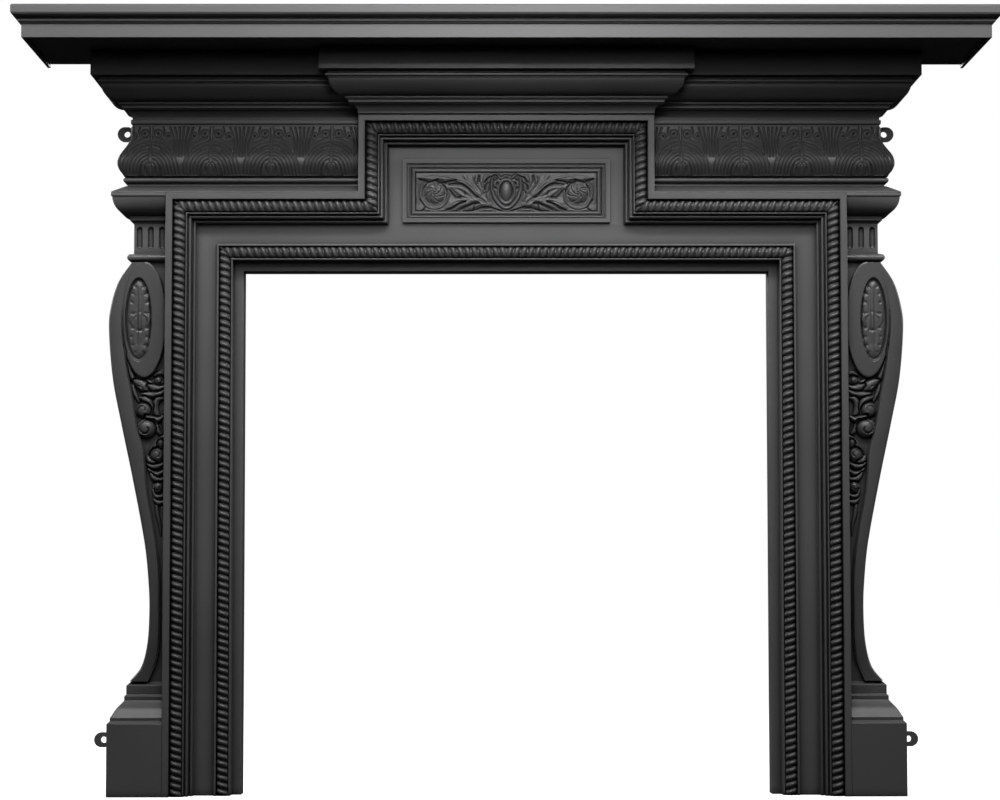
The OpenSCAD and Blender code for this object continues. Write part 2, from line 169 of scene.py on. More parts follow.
def stretched(nodes, links, value, low, high, new_low, new_high):
    """A value that runs from low to high, stretched to run from new_low to new_high."""
    made = nodes.new("ShaderNodeMapRange")
    for socket, number in [("From Min", low), ("From Max", high),
                           ("To Min", new_low), ("To Max", new_high)]:
        made.inputs[socket].default_value = number
    links.new(value, made.inputs["Value"])
    return made.outputs["Result"]


def blended(nodes, links, factor, first, second):
    """A colour between two others, each a plain colour or the output of a node."""
    made = nodes.new("ShaderNodeMix")
    made.data_type = "RGBA"
    links.new(factor, made.inputs["Factor"])
    for socket, colour in [("A", first), ("B", second)]:
        if isinstance(colour, tuple):
            made.inputs[socket].default_value = colour
        else:
            links.new(colour, made.inputs[socket])
    return made.outputs["Result"]


def openness(nodes, links, reach, low, high, least):
    """1 on open surface, down to least where walls stand close within the reach; it places the
    painted shade.
    """
    made = nodes.new("ShaderNodeAmbientOcclusion")
    made.samples = 6
    made.inputs["Distance"].default_value = reach
    return stretched(nodes, links, made.outputs["AO"], low, high, least, 1.0)


# %% Blacked cast iron
PATCH_DARK = (0.060, 0.060, 0.0615, 1)
PATCH_PALE = (0.078, 0.078, 0.079, 1)
BURNISHED = (0.135, 0.135, 0.138, 1)
# The last two colours are painted shade, near black laid in hollows and furrows that ambient
# occlusion finds.
PAINTED_SHADE_BROAD = (0.006, 0.006, 0.0062, 1)
PAINTED_SHADE_FINE = (0.007, 0.007, 0.0072, 1)


def blacked_iron(name):
    material = bpy.data.materials.new(name)
    material.use_nodes = True
    nodes, links = material.node_tree.nodes, material.node_tree.links
    shader = nodes["Principled BSDF"]
    shader.inputs["Metallic"].default_value = 0.0
    shader.inputs["Specular IOR Level"].default_value = 0.5
    where = nodes.new("ShaderNodeTexCoord")

    patches = noise(nodes, links, where, 7.0, 5.0)
    tone = nodes.new("ShaderNodeValToRGB")
    for stop, at, colour in [(0, 0.3, PATCH_DARK), (1, 0.72, PATCH_PALE)]:
        tone.color_ramp.elements[stop].position = at
        tone.color_ramp.elements[stop].color = colour
    links.new(patches, tone.inputs["Fac"])

    shape = nodes.new("ShaderNodeNewGeometry")
    edges = stretched(nodes, links, shape.outputs["Pointiness"], 0.51, 0.62, 0.0, 0.5)
    colour = blended(nodes, links, edges, tone.outputs["Color"], BURNISHED)
    # Painted shade: hollows with walls within 16 mm are darkened towards near black.
    broad = openness(nodes, links, 0.016, 0.25, 0.95, 0.12)
    colour = blended(nodes, links, broad, PAINTED_SHADE_BROAD, colour)
    # Painted shade again: narrow furrows with walls within 4.5 mm are darkened towards near black.
    fine = openness(nodes, links, 0.0045, 0.35, 0.88, 0.15)
    colour = blended(nodes, links, fine, PAINTED_SHADE_FINE, colour)
    links.new(colour, shader.inputs["Base Color"])

    rough = stretched(nodes, links, patches, 0.0, 1.0, 0.34, 0.46)
    links.new(rough, shader.inputs["Roughness"])
    bump = nodes.new("ShaderNodeBump")
    bump.inputs["Strength"].default_value = 0.16
    bump.inputs["Distance"].default_value = 0.0006
    links.new(noise(nodes, links, where, 650.0, 3.0), bump.inputs["Height"])
    links.new(bump.outputs["Normal"], shader.inputs["Normal"])
    print(f"{name}: {len(nodes)} nodes")
    return material


iron = blacked_iron("blacked_iron")

# %% [markdown]
# ## The castings
# The solids already have the true profiles with softened edges. Their triangles come in
# flat, so curved runs would show facets. Welding the points and weighting the normals
# by area makes small arcs shade as curves and keeps flat faces flat.

# %% Finish the castings
SMOOTH_BELOW = math.radians(38)
for node_name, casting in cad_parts.items():
    mesh = casting.data
    if "custom_normal" in mesh.attributes:
        mesh.attributes.remove(mesh.attributes["custom_normal"])
    mesh.polygons.foreach_set("use_smooth", [True] * len(mesh.polygons))
    mesh.materials.clear()
    mesh.materials.append(iron)
    weld = casting.modifiers.new("weld", "WELD")
    weld.merge_threshold = 0.02 * MM
    split = casting.modifiers.new("split", "EDGE_SPLIT")
    split.split_angle = SMOOTH_BELOW
    even = casting.modifiers.new("even", "WEIGHTED_NORMAL")
    even.weight = 90
    even.keep_sharp = True
    print(f"{node_name}: {len(mesh.polygons)} faces")

# %% [markdown]
# ## Rope mouldings
# Two ropes frame the fire opening. A rope moulding is half a rope lying in a channel:
# its strands bulge between slanting grooves. Each run is a half-round grid whose radius
# rises and falls along a helix. The runs meet in mitres, so each end is cut at 45
# degrees by shifting the grid's ends with the distance across the rope.

# %% One run of rope
ROPE_PITCH = 12.2 * MM
ROPE_STEPS = 10
ROPE_SIDES = 12
ROPE_H = 11.6 * MM                # from the bottom of the channel to the crest


def rope_run(carving, start, end, inward, crest_depth, radius, cut_start, cut_end, lean):
    """start and end are (x, z) on the rope's centre line; inward is the (x, z) direction
    across it. cut_start and cut_end shift each end by that much for each unit across."""
    start, end, inward = np.array(start), np.array(end), np.array(inward)
    length = np.linalg.norm(end - start)
    along = (end - start) / length
    rows = int(round(length / ROPE_PITCH * ROPE_STEPS)) + 1
    points = np.zeros((rows, ROPE_SIDES + 1, 3))
    for side in range(ROPE_SIDES + 1):
        angle = math.pi * side / ROPE_SIDES
        wide = math.copysign(abs(math.cos(angle)) ** 0.9, math.cos(angle))
        across = -radius * wide
        first = cut_start * across
        last = length + cut_end * across
        for row in range(rows):
            here = first + (last - first) * row / (rows - 1)
            phase = (here - lean * across) / ROPE_PITCH
            swell = abs(math.sin(math.pi * phase)) ** 0.7
            x, z = start + along * here + inward * across * (0.9 + 0.1 * swell)
            rise = math.sin(angle) ** 0.62 * (0.42 + 0.58 * swell)
            depth = crest_depth - ROPE_H + ROPE_H * rise
            points[row, side] = place(x, depth, z)
    turned = along[0] * inward[1] - along[1] * inward[0]
    carving.grid(points, flip=turned < 0)


# %% Ropes of the outer and inner frames
outer_rope_in = 23.2 * MM          # centre of the outer rope, in from the frame's edge
outer_rope_r = 10.6 * MM
inner_rope_out = 30.6 * MM         # centre of the inner rope, out from the opening
inner_rope_r = 10.0 * MM
outer_crest = frame_face - 1 * MM
inner_crest = panel_face + 12 * MM
SLANT = 0.27                       # how far a groove runs along the rope for its width

left = -frame_half + outer_rope_in
high = frame_top - outer_rope_in
step = -step_half + outer_rope_in
peak = step_top - outer_rope_in
left_rope = Carving()
for start, end, inward, cut_start, cut_end, lean in [
        ((left, 0), (left, high), (1, 0), 0, -1, -SLANT),
        ((left, high), (step, high), (0, -1), 1, 1, SLANT),
        ((step, high), (step, peak), (1, 0), -1, -1, -SLANT),
        ((step, peak), (0, peak), (0, -1), 1, 0, SLANT)]:
    rope_run(left_rope, start, end, inward, outer_crest, outer_rope_r, cut_start, cut_end, lean)
left_rope.piece("outer_rope_left", iron)
left_rope.mirrored().piece("outer_rope_right", iron)

near = -opening_half - inner_rope_out
lintel = opening_top + inner_rope_out
inner_rope = Carving()
for start, end, inward, cut_start, cut_end, lean in [
        ((near, 0), (near, lintel), (1, 0), 0, -1, -SLANT),
        ((near, lintel), (0, lintel), (0, -1), 1, 0, SLANT)]:
    rope_run(inner_rope, start, end, inward, inner_crest, inner_rope_r, cut_start, cut_end, lean)
inner_rope.piece("inner_rope_left", iron)
inner_rope.mirrored().piece("inner_rope_right", iron)

# %% [markdown]
# ## Carving in relief
# Leaves, scrolls and rosettes rise from a flat field, so a height over a flat plan
# describes them fully, and it is quicker to shape than a sculpted mesh. A carver's few
# moves become functions that change the height: a stroke is a ridge with a round back, a
# ball is a dome, and a groove and a hole cut into whatever is there. A mass is a full
# form laid on top, with a moat round it that makes the dark, sharp valley where two
# forms meet, and a coil is a round mass with a spiral furrow. All sizes of relief are in
# millimetres.

# %% Smooth curves
def smooth_curve(points, steps=8):
    """A smooth run of points through a few control points."""
    p = np.asarray(points, float)
    if len(p) == 2:
        p = np.array([p[0], (p[0] + p[1]) / 2, p[1]])
    run = []
    for i in range(len(p) - 1):
        p0, p1, p2, p3 = p[max(i - 1, 0)], p[i], p[i + 1], p[min(i + 2, len(p) - 1)]
        for k in range(steps):
            t = k / steps
            run.append(0.5 * (2 * p1 + (p2 - p0) * t + (2 * p0 - 5 * p1 + 4 * p2 - p3) * t * t
                              + (3 * p1 - p0 - 3 * p2 + p3) * t ** 3))
    run.append(p[-1])
    return np.array(run)


# %% A field of heights
class Field:
    """Heights in millimetres over a plan; u runs across and v runs up."""

    def __init__(self, u, v, ground=0.0):
        self.u, self.v = u, v
        self.h = np.full(u.shape, float(ground))

    def along(self, run, reach):
        """Which points lie near a run, with their distance from it and how far along it
        they are, from 0 to 1."""
        low, high_side = run.min(axis=0) - reach, run.max(axis=0) + reach
        near_by = ((self.u > low[0]) & (self.u < high_side[0])
                   & (self.v > low[1]) & (self.v < high_side[1]))
        u, v = self.u[near_by], self.v[near_by]
        best = np.full(u.shape, 1e9)
        part = np.zeros(u.shape)
        for i in range(len(run) - 1):
            d = run[i + 1] - run[i]
            size = max(d @ d, 1e-9)
            t = np.clip(((u - run[i][0]) * d[0] + (v - run[i][1]) * d[1]) / size, 0, 1)
            gap = np.hypot(u - run[i][0] - t * d[0], v - run[i][1] - t * d[1])
            closer = gap < best
            best = np.where(closer, gap, best)
            part = np.where(closer, (i + t) / (len(run) - 1), part)
        return near_by, best, part

    def oval(self, at, width, tall, turn):
        """0 in the middle of a turned oval and 1 on its edge, squared in between."""
        tall = width if tall is None else tall
        c, s = math.cos(math.radians(turn)), math.sin(math.radians(turn))
        du, dv = self.u - at[0], self.v - at[1]
        return ((du * c + dv * s) / width) ** 2 + ((dv * c - du * s) / tall) ** 2

    def soften(self, times=1):
        """Rounds every edge a little, as paint and a worn pattern do."""
        for _ in range(times):
            h = np.pad(self.h, 1, mode="edge")
            h = (h[:-2] + 2 * h[1:-1] + h[2:]) / 4
            self.h = (h[:, :-2] + 2 * h[:, 1:-1] + h[:, 2:]) / 4


# %% Simple moves: stroke, groove, ball and hole
class SimpleRelief(Field):
    def stroke(self, points, width, height, end_width, end_height):
        """A ridge with a round back; width is half of its breadth."""
        near_by, gap, t = self.along(smooth_curve(points), max(width, end_width) + 1)
        w = width + (end_width - width) * t
        top = height + (end_height - height) * t
        x = np.clip(gap / w, 0, 1)
        old = self.h[near_by]
        self.h[near_by] = np.where(gap < w, np.maximum(old, top * np.sqrt(1 - x * x)), old)

    def groove(self, points, width, cut, end_width):
        """A furrow cut into whatever is there."""
        near_by, gap, t = self.along(smooth_curve(points), max(width, end_width) + 1)
        w = width + (end_width - width) * t
        x = np.clip(gap / w, 0, 1)
        self.h[near_by] -= np.where(gap < w, cut * (1 - x * x), 0)

    def ball(self, at, width, height, tall=None, turn=0.0, power=0.5):
        x = self.oval(at, width, tall, turn)
        dome = height * np.clip(1 - x, 0, 1) ** power
        self.h = np.where(x < 1, np.maximum(self.h, dome), self.h)

    def hole(self, at, width, cut, tall=None, turn=0.0):
        self.h -= cut * np.clip(1 - self.oval(at, width, tall, turn), 0, 1)


# %% Full forms: mass and coil
COIL_STEPS = 24                     # points of the furrow in one turn


class Relief(SimpleRelief):
    def mass(self, points, widths, height, moat=1.3, ground=0.4, fullness=2.6):
        """A full, rounded form laid over whatever is there. widths are its half breadths
        along the run, and a narrow moat sinks the old surface round it."""
        near_by, gap, t = self.along(smooth_curve(points), max(widths) + moat + 0.5)
        w = np.interp(t, np.linspace(0, 1, len(widths)), widths)
        old = self.h[near_by]
        sunk = np.minimum(old, ground + np.clip((gap - w) / max(moat, 0.1), 0, 1) ** 2 * 9)
        old = np.where(gap < w + moat, sunk, old)
        x = np.clip(gap / w, 0, 1)
        top = height * (0.55 + 0.45 * w / max(widths)) * (1 - x ** fullness) ** 0.5
        self.h[near_by] = np.where(gap < w, np.maximum(top, ground * 0.5), old)

    def coil(self, at, radius, height, start, turns, hand, cut, line, moat=1.5):
        """A round boss with a spiral furrow that winds in from its edge to its middle."""
        self.mass([(at[0] - 0.01, at[1]), (at[0] + 0.01, at[1])], [radius, radius], height, moat,
                  fullness=2.2)
        run = []
        for k in range(int(COIL_STEPS * turns) + 1):
            t = k / (COIL_STEPS * turns)
            angle = math.radians(start) + hand * t * turns * 2 * math.pi
            r = radius * (1.02 - 0.82 * t)
            run.append((at[0] + r * math.cos(angle), at[1] + r * math.sin(angle)))
        near_by, gap, t = self.along(np.array(run), line + 1)
        x = np.clip(gap / (line * (1.15 - 0.5 * t)), 0, 1)
        self.h[near_by] -= cut * (1 - x * x) * (1 - 0.35 * t)


# %% [markdown]
# ## The cartouche
# A panel of scrolling leaves fills the small moulded frame over the opening: an egg in a
# strapwork shield, and on each side a stem that throws off leaves and winds round a
# rosette. It is carved for one side and mirrored, since the two halves match.

# %% Folds, veins and gaps of the leaves, for the half at u < 0
FOLDS = [                           # points, half breadth, lift
    ([(-30, -22), (-46, -10), (-60, 4), (-72, 15), (-88, 22), (-108, 25), (-132, 26),
      (-154, 25)], 5.0, 1.5),
    ([(-36, -24), (-52, -13), (-64, -3), (-76, 6), (-88, 9), (-101, 8)], 4.6, 1.4),
    ([(-52, -16), (-66, -10), (-78, -5), (-90, 4)], 3.4, 1.3),
    ([(-56, -17), (-72, -14), (-86, -14), (-100, -20)], 3.6, 1.4),
    ([(-36, -23), (-48, -22), (-60, -27), (-70, -31)], 4.2, 1.5),
    ([(-60, -18), (-72, -21), (-84, -27), (-92, -32)], 4.2, 1.5),
    ([(-76, -16), (-90, -21), (-104, -28)], 4.2, 1.4),
    ([(-102, 17), (-114, 22), (-128, 21), (-140, 24)], 3.4, 1.2),
    ([(-46, -4), (-56, 8), (-66, 18), (-72, 28)], 4.2, 1.3),
    ([(-42, 0), (-50, 14), (-56, 28)], 3.6, 1.3),
    ([(-38, 0), (-43, 14), (-42, 28)], 3.4, 1.4),
    ([(-30, -14), (-33, 0), (-32, 14), (-26, 26)], 3.8, 1.6),
    ([(-153, 20), (-156, 8), (-156, -6), (-152, -20)], 3.0, 0.9)]
VEINS = [
    [(-34, -18), (-48, -6), (-62, 8), (-76, 18), (-96, 23), (-120, 27), (-146, 28)],
    [(-40, -20), (-54, -8), (-66, 1), (-80, 8.5), (-94, 9.5)],
    [(-56, -20), (-70, -16), (-86, -18), (-98, -25)],
    [(-44, -20), (-54, -24), (-64, -31)], [(-62, -21), (-76, -27), (-86, -33)],
    [(-50, 0), (-60, 12), (-68, 26)], [(-42, 6), (-47, 20), (-49, 29)]]
GAPS = [                            # points, half breadth, cut, half breadth at the end
    ([(-152, 22.5), (-143, 19.5), (-135, 14.5)], 1.3, 3.4, 2.4),
    ([(-137, 14.5), (-128, 18), (-119, 21.5)], 2.2, 3.6, 1.6),
    ([(-118, 13), (-108, 16.5)], 1.6, 2.8, 1.5),
    ([(-107, 15), (-98, 18.5), (-87, 20)], 1.9, 3.4, 1.1),
    ([(-99, 13), (-86, 14), (-75, 12), (-66, 6), (-57, -3), (-50, -9)], 1.5, 3.6, 2.0),
    ([(-50, -9), (-43, -13), (-34, -21)], 1.2, 2.0, 0.8),
    ([(-97, 1), (-91.5, -6), (-86, -10), (-79, -9)], 1.4, 3.2, 1.3),
    ([(-73, 1), (-71, -5)], 1.1, 2.0, 0.8),
    ([(-143, -8), (-139, -17), (-133, -23.5), (-125, -25), (-116, -23), (-108, -16.5)],
     1.8, 3.4, 2.2),
    ([(-150, -14), (-144, -21), (-141, -28), (-146, -33)], 1.4, 2.6, 1.5),
    ([(-103, -32), (-93, -29), (-83, -21.5), (-71, -17.5)], 2.2, 3.6, 1.5),
    ([(-79, -32), (-68, -26), (-58, -21), (-47, -20)], 2.2, 3.8, 1.6),
    ([(-55, -21), (-56.5, -31)], 1.5, 2.8, 1.0),
    ([(-59, -34), (-48, -30.5), (-38, -28), (-28, -28), (-18, -31.5), (-8, -34)],
     2.2, 3.8, 2.2),
    ([(-38, 4), (-36, 11), (-30, 16)], 1.4, 2.6, 1.2),
    ([(-34.5, -3), (-30, 2)], 1.2, 2.0, 0.9),
    ([(-37, 17), (-31, 24.5), (-24, 27)], 1.6, 3.0, 1.3),
    ([(-47, 27), (-50, 14)], 1.6, 2.6, 1.1),
    ([(-54, 26), (-55.5, 18)], 1.2, 1.8, 0.8)]
print(len(FOLDS), "folds,", len(VEINS), "veins and", len(GAPS), "gaps")

# %% The rosette of the cartouche
ROSETTE_AT = (-124.5, -2.5)
STEM_RING = [(-101, 2), (-101.5, -8), (-105, -18), (-114, -26.5), (-126, -29),
             (-138, -25.5), (-146, -16), (-149, -4), (-148, 8), (-143.5, 16)]


def petal_groove(r, angle, sweep, width, cut, end_width):
    """A furrow that swings outwards; sweep lists distances and the turns they get."""
    r.groove([(ROSETTE_AT[0] + d * math.cos(angle + w), ROSETTE_AT[1] + d * math.sin(angle + w))
              for d, w in sweep], width, cut, end_width)


def carve_cartouche_rosette(r):
    """A dome cut into petals, and the stem that winds round it."""
    x = np.hypot(r.u - ROSETTE_AT[0], r.v - ROSETTE_AT[1])
    r.h = np.where(x < 21.5, np.minimum(r.h, 0.6), r.h)
    r.ball(ROSETTE_AT, 18.0, 5.2, power=0.55)
    for k in range(7):
        angle = math.radians(360 / 7 * k + 12)
        petal_groove(r, angle, [(6.5, 0), (12, 0.22), (18.5, 0.62)], 0.9, 1.5, 1.8)
        petal_groove(r, angle, [(9, 0.5), (15, 0.75)], 0.8, 0.6, 1.0)
    for k in range(5):
        angle = math.radians(72 * k + 40)
        petal_groove(r, angle, [(2.6, 0), (5.5, 0.35), (8.5, 0.9)], 0.9, 1.5, 1.1)
    r.mass([(ROSETTE_AT[0] - 0.1, ROSETTE_AT[1]), (ROSETTE_AT[0] + 0.1, ROSETTE_AT[1])],
           [2.6, 2.6], 6.2, moat=0.7, ground=3.6, fullness=2.0)
    r.mass(STEM_RING, [1.8, 2.6, 2.7, 2.6, 2.2, 1.4], 3.8, moat=1.0, ground=0.8, fullness=2.0)


# %% One side of the cartouche
def carve_cartouche_side(r):
    """The leaves lie so close that they make one mass: it is laid first, with the fold
    of each leaf, and the gaps are cut."""
    r.h = np.maximum(r.h, 3.2 + 0.5 * np.sin(r.u / 9 + r.v / 7) * np.cos(r.v / 8 - r.u / 21))
    for points, width, lift in FOLDS:
        near_by, gap, t = r.along(smooth_curve(points), width + 1)
        x = np.clip(gap / width, 0, 1)
        swell = np.sin(np.pi * np.clip(0.12 + 0.8 * t, 0, 1)) ** 0.5
        r.h[near_by] += 1.3 * lift * (1 - x * x) * swell
    for points in VEINS:
        r.groove(points, 1.0, 0.9, 0.7)
    carve_cartouche_rosette(r)
    for points, width, cut, end in GAPS:
        r.groove(points, width, 1.3 * cut, end)
    # strapwork of the shield
    r.mass([(-15, 28), (-22, 25), (-25.5, 14), (-24.5, 2), (-20.5, -10), (-14, -20), (-6, -27),
            (2, -29)], [3.2, 3.0, 3.0, 3.6, 3.6, 3.2], 5.2, moat=1.3, ground=0.6, fullness=2.2)
    r.mass([(-14, 27), (-9, 23), (-4, 26), (2, 28)], [2.4, 2.6, 2.6], 4.6, moat=1.0, fullness=2.2)
    r.coil((-19, 24), 4.6, 5.2, 150, 0.9, -1, cut=2.4, line=1.1, moat=1.0)
    r.hole((-18.6, 6.5), 2.6, 4.6, 3.0)
    r.hole((-15.5, 14.0), 3.2, 3.0, 4.6, -20)
    r.groove([(-22.5, 12), (-21, 0), (-15, -13)], 0.9, 1.1, 0.7)


# %% The frame round the cartouche
def cartouche_moulding(carving, half_u, half_v, mid):
    """Fine steps round the field, mitred at the corners. Each point of the profile is the
    distance outwards from the field and the height over the panel."""
    profile = [(-0.6, 0.2), (0.0, 3.2), (0.8, 3.9), (5.6, 3.9), (6.4, 3.2), (6.8, 1.6)]
    for bead in (9.2, 14.0):
        profile += [(bead - 1.9 + 1.9 * (1 - math.cos(math.pi * k / 6)),
                     1.5 + 1.9 * math.sin(math.pi * k / 6)) for k in range(7)]
        profile += [(bead + 2.4, 1.2)]
    profile += [(18.2, 1.3), (20.6, 0.2)]
    for side in range(4):
        rows = []
        for out, height in profile:
            u, v = half_u + out, half_v + out
            corners = [(-u, v), (u, v), (u, -v), (-u, -v)]
            rows.append([(a * MM, wall_y - panel_face - (height + 0.35) * MM, mid + b * MM)
                         for a, b in (corners[side], corners[(side + 1) % 4])])
        carving.grid(rows, flip=True)


# %% Cartouche
FIELD_U, FIELD_V = 158.2, 34.3     # half the field that the leaves fill
FINE = 0.7                         # one square of the relief
BARE = 0.3                         # the bare field's height over the casting


def cartouche(name):
    u, v = np.meshgrid(np.arange(-FIELD_U, 0.3, FINE), np.arange(-FIELD_V, FIELD_V + 0.1, FINE))
    r = Relief(u, v, BARE)
    carve_cartouche_side(r)
    # the egg, in a hollow ring
    x = np.hypot(u / 16.2, (v - 0.5) / 23.5)
    ring = 4.4 * np.sqrt(np.clip(1 - ((x - 0.88) / 0.16) ** 2, 0, 1))
    r.h = np.where(x < 1.02, np.maximum(0.4, ring), r.h)
    r.ball((0, -0.5), 10.6, 6.4, 18.6)
    r.h = np.maximum(r.h, BARE)
    r.soften(1)
    edge = np.minimum(FIELD_U + u, FIELD_V - np.abs(v))
    r.h = BARE + (r.h - BARE) * np.clip(edge / 2.0 + 0.1, 0, 1) ** 0.5
    carved = Carving()
    mid = frame_top + 5.5 * MM
    carved.grid(np.stack([u * MM, wall_y - panel_face - r.h * MM, mid + v * MM], -1))
    both = carved.mirrored()
    start = len(carved.points)
    carved.points += both.points
    carved.faces += [tuple(start + i for i in f) for f in both.faces]
    cartouche_moulding(carved, FIELD_U + 0.2, FIELD_V + 0.3, mid)
    carved.piece(name, iron)


cartouche("cartouche")

# %% [markdown]
# ## The friezes
# Each frieze swells out like a cushion under the cornice and carries worn acanthus
# leaves side by side. The casting has the cushion; the leaves are a relief wrapped over
# it, running along the front and round the mitre onto the short end. One leaf is a
# midrib, ridges that sweep out of it like the strings of a lyre, a pair of small
# scrolls at the top, and a fan of ridges where it meets its neighbour.

# %% One leaf of the frieze
def frieze_swell(t):
    """How far the cushion stands out at height t, from 0 to 1."""
    rise = 0.45 + 0.55 * np.sin(np.pi / 2 * np.clip(t / 0.26, 0, 1))
    fall = np.cos(np.pi / 2 * np.clip((t - 0.26) / 0.51, 0, 1))
    return np.where(t < 0.26, rise, np.clip(fall, 0, 1) ** 1.45)


def carve_frieze_leaf(r, at, pitch):
    """Cuts the furrows between the ridges of one leaf, and lays its volutes and foot."""
    half = pitch / 2
    k = half / 52.0
    for s in (-1, 1):
        # the ridges that sweep out of the rib like the strings of a lyre
        for n in range(6):
            wide, tall = 18 + 6.0 * n, 27 + 6.7 * n
            arch = [(at + s * k * wide * math.cos(math.radians(a)),
                     3 + tall * math.sin(math.radians(a))) for a in (83, 66, 48, 30, 13, 1)]
            r.groove(arch, 1.7, 2.5 - 0.08 * n, 2.0)
        # the fan where two leaves meet
        for out in (3.0, 9.5, 16.0):
            r.groove([(at + s * (half - 0.9 * out * k), 34), (at + s * (half - 0.75 * out * k), 60),
                      (at + s * (half - 1.25 * out * k), 87)], 1.5, 2.0, 1.9)
        # volutes at the top
        for out, high, size, hand in [(11.5, 76, 6.0, -s), (30.0, 72, 4.6, s)]:
            middle = (at + s * k * out, high)
            r.mass([(middle[0] - 0.01, high), (middle[0] + 0.01, high)], [size + 1.2, size + 1.2],
                   2.9, moat=1.6, ground=0.6, fullness=5)
            ring = [(middle[0] + 0.72 * size * math.cos(math.radians(90 + hand * a)),
                     middle[1] + 0.72 * size * math.sin(math.radians(90 + hand * a)))
                    for a in range(-30, 300, 30)]
            r.stroke(ring, 1.7, 3.4, 1.3, 3.0)
            r.hole(middle, 2.7, 2.6)
        # the lobe that joins them, and an ear where the ridges leave the rib
        r.groove([(at + s * k * 17, 68), (at + s * k * 23, 64), (at + s * k * 30, 64)],
                 1.2, 1.8, 1.5)
        r.groove([(at + s * k * 20, 88), (at + s * k * 22, 79), (at + s * k * 20, 71)],
                 1.6, 2.2, 1.1)
        r.groove([(at + s * k * 4, 55), (at + s * k * 12, 54), (at + s * k * 17, 47)],
                 1.4, 2.2, 1.8)
        # foot
        r.mass([(at + s * 3, 26), (at + s * 9, 22), (at + s * 13, 12), (at + s * 14, 1)],
               [2.2, 3.2, 3.0, 2.2], 3.2, moat=1.8, ground=0.4)
        r.hole((at + s * 7.2, 8), 3.2, 3.6, 9.0, -s * 8)
        r.groove([(at + s * 18.5, 1), (at + s * 18, 10), (at + s * 14.5, 20)], 2.0, 2.4, 1.2)
    r.mass([(at, 89), (at, 78), (at, 64)], [1.6, 3.6, 2.2], 3.4, moat=1.6, ground=0.4)
    r.mass([(at, 62), (at, 34)], [2.0, 3.0], 3.2, moat=1.6, ground=0.5)
    r.mass([(at, 29), (at, 25)], [3.8, 3.4], 3.5, moat=1.4, ground=0.5)
    r.mass([(at, 18), (at, 2)], [2.0, 3.0, 2.6], 2.9, moat=1.6, ground=0.2)


# %% What the frieze's front and end share
FRIEZE_TALL = frieze_h / MM
FRIEZE_BULGE = 21
FRIEZE_CORE = 582                  # half the width of the frieze without its swell
FRIEZE_FROM = 255.2                # where it comes out of the rope frame
FRIEZE_SKIN = 2.7                  # the leaves' common height over the cushion
FRIEZE_BARE = 0.35                 # what is left of it at the mitre
LEAF_PITCH, FIRST_LEAF, LEAVES = 104.5, 616.5, 4

frieze_v = np.linspace(0.6, FRIEZE_TALL - 0.4, 132)
swell = neck_face / MM + FRIEZE_BULGE * frieze_swell(frieze_v / FRIEZE_TALL)
reach = FRIEZE_CORE + swell        # half width of the cushion at each height
print("frieze cushion stands out", swell.min(), "to", swell.max(), "mm")


def finished_leaves(relief, fade):
    """Rounds the leaves, fades them where fade is 0, and roots the rims in the casting."""
    relief.soften(1)
    h = FRIEZE_BARE + (np.maximum(relief.h, 0.3) - FRIEZE_BARE) * fade
    return np.where((relief.v < 1.2) | (relief.v > FRIEZE_TALL - 1.2), -0.6, h)


def at_mitre(from_mitre):
    """1 on the mitre itself and 0 half a millimetre away from it."""
    return np.clip(1 - from_mitre / 0.5, 0, 1)


# %% Frieze along the front, from the rope frame to the mitre
def frieze_front(name, cols):
    part = np.linspace(0, 1, cols)
    x = FRIEZE_FROM + (reach[:, None] - FRIEZE_FROM) * part[None, :]
    v = np.repeat(frieze_v[:, None], cols, 1)
    leaves = Relief(x, v, FRIEZE_SKIN)
    for k in range(LEAVES):
        carve_frieze_leaf(leaves, FIRST_LEAF - LEAF_PITCH * k, LEAF_PITCH)
    from_mitre = reach[:, None] - x
    h = finished_leaves(leaves, np.clip(from_mitre / 5, 0, 1) * np.clip((x - 256) / 2, 0, 1))
    made = Carving()
    made.grid(np.stack([-(x + h * at_mitre(from_mitre)) * MM,
                        wall_y - (swell[:, None] + h) * MM, frieze_bottom + v * MM], -1), flip=True)
    made.piece(name + "_left", iron)
    made.mirrored().piece(name + "_right", iron)


frieze_front("frieze", 560)

# %% Frieze round the mitre and back to the wall
def frieze_end(name, cols):
    part = np.linspace(0, 1, cols)
    back = swell[:, None] * (1 - part[None, :])        # depth in front of the wall
    v = np.repeat(frieze_v[:, None], cols, 1)
    leaves = Relief(back, v, FRIEZE_SKIN)
    carve_frieze_leaf(leaves, 40.0, 78.0)
    from_mitre = swell[:, None] - back
    h = finished_leaves(leaves, np.clip(from_mitre / 5, 0, 1))
    made = Carving()
    made.grid(np.stack([-(reach[:, None] + h) * MM,
                        wall_y - (back + h * at_mitre(from_mitre)) * MM,
                        frieze_bottom + v * MM], -1), flip=True)
    made.piece(name + "_left", iron)
    made.mirrored().piece(name + "_right", iron)


frieze_end("frieze_end", 84)

# %% [markdown]
# ## The consoles
# Each leg carries a tall console: a strap follows its S-shaped edge, an oval disc with a
# sunk rosette fills its head, and leaf scrolls hang below the disc and die away at the
# waist. The casting has the outline, the disc, the sinking and the cores of the
# scrolls. Strap, disc and leaves flow into each other here, so one sheet carries them
# all. It is cut in two along its height, with fine squares only where there is carving.

# %% The console's outline
def curve_at(points, heights):
    """Distance from the frame's edge at the given heights, along a smooth curve."""
    run = smooth_curve(points, 24)
    order = np.argsort(run[:, 1])
    return np.interp(heights, run[order, 1], run[order, 0])


